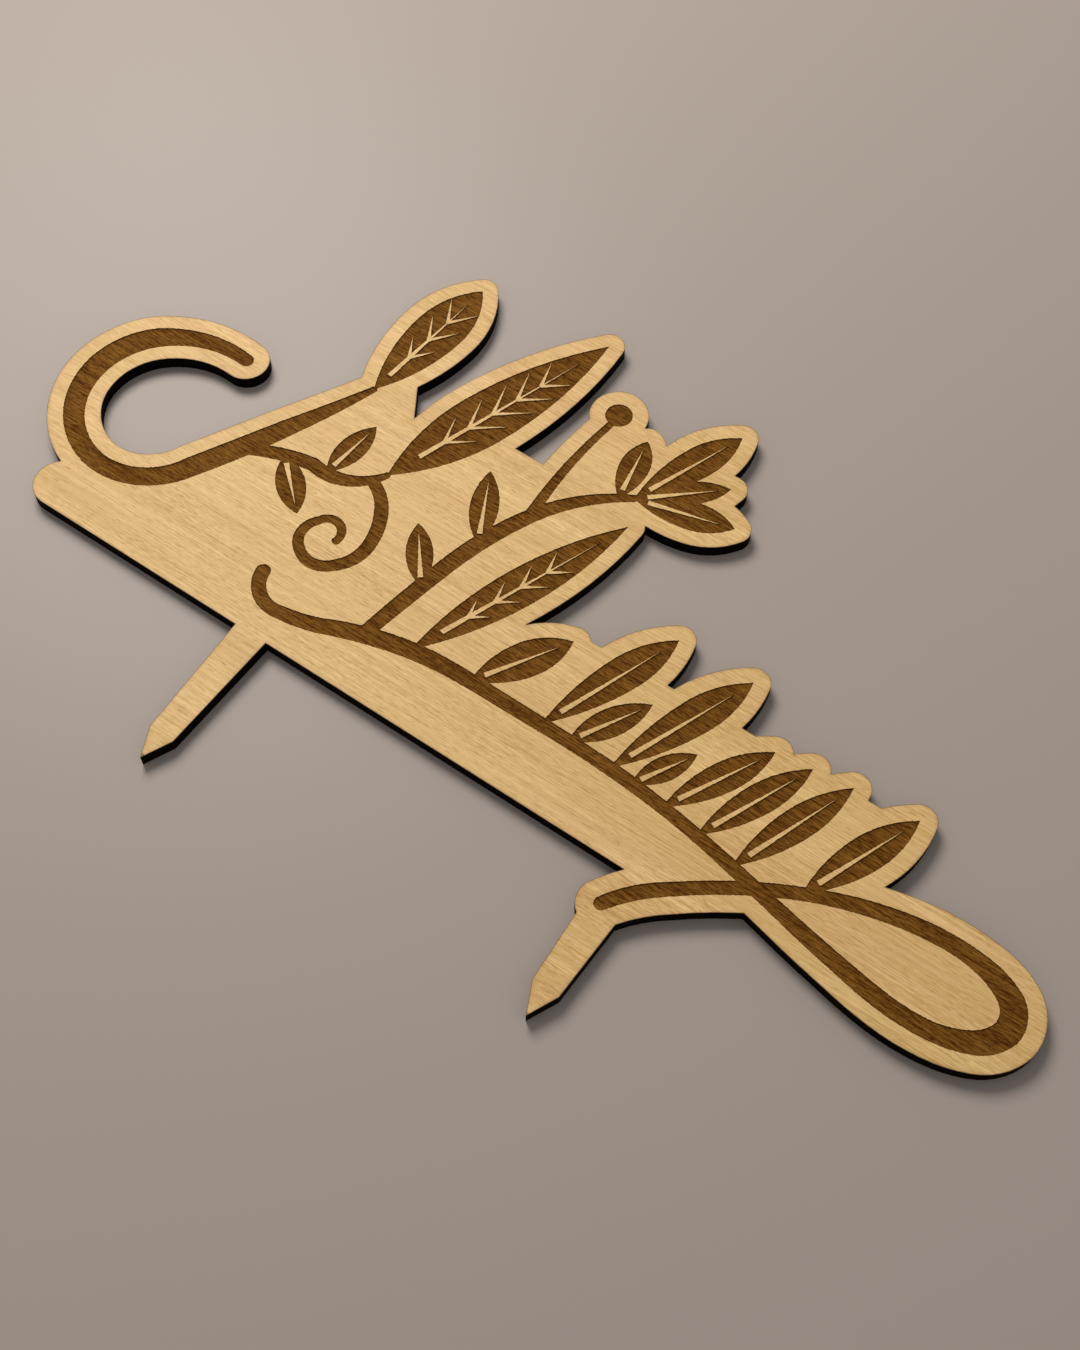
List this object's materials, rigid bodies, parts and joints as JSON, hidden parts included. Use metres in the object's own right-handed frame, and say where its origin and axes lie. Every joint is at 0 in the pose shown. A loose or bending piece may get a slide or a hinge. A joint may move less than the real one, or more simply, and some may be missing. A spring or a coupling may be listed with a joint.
{
  "type": "cake topper",
  "caption": "Flat plywood cake topper with an engraved leafy vine, a scroll hook, a tail loop and pointed stakes, lying on its back.",
  "frame": {"origin": "on the back face, on the straight base edge, midway between the two stakes", "axes": "+X along the base edge towards the tail loop, +Y from the stakes up to the top of the design, +Z out of the engraved face"},
  "size_m": [0.2386, 0.1349, 0.003],
  "materials": {
    "birch_face": "bare sanded birch, engraved brown, with a charred cut edge",
    "glue_film": "cured glue, charred dark at the cut edge",
    "birch_core": "cross-grain birch, charred dark at the cut edge",
    "birch_back": "bare sanded birch with a charred cut edge"
  },
  "bodies": {
    "root": {"face_veneer": "birch_face", "front_glue_line": "glue_film", "core_veneer": "birch_core", "back_glue_line": "glue_film", "back_veneer": "birch_back"}
  },
  "joints": []
}
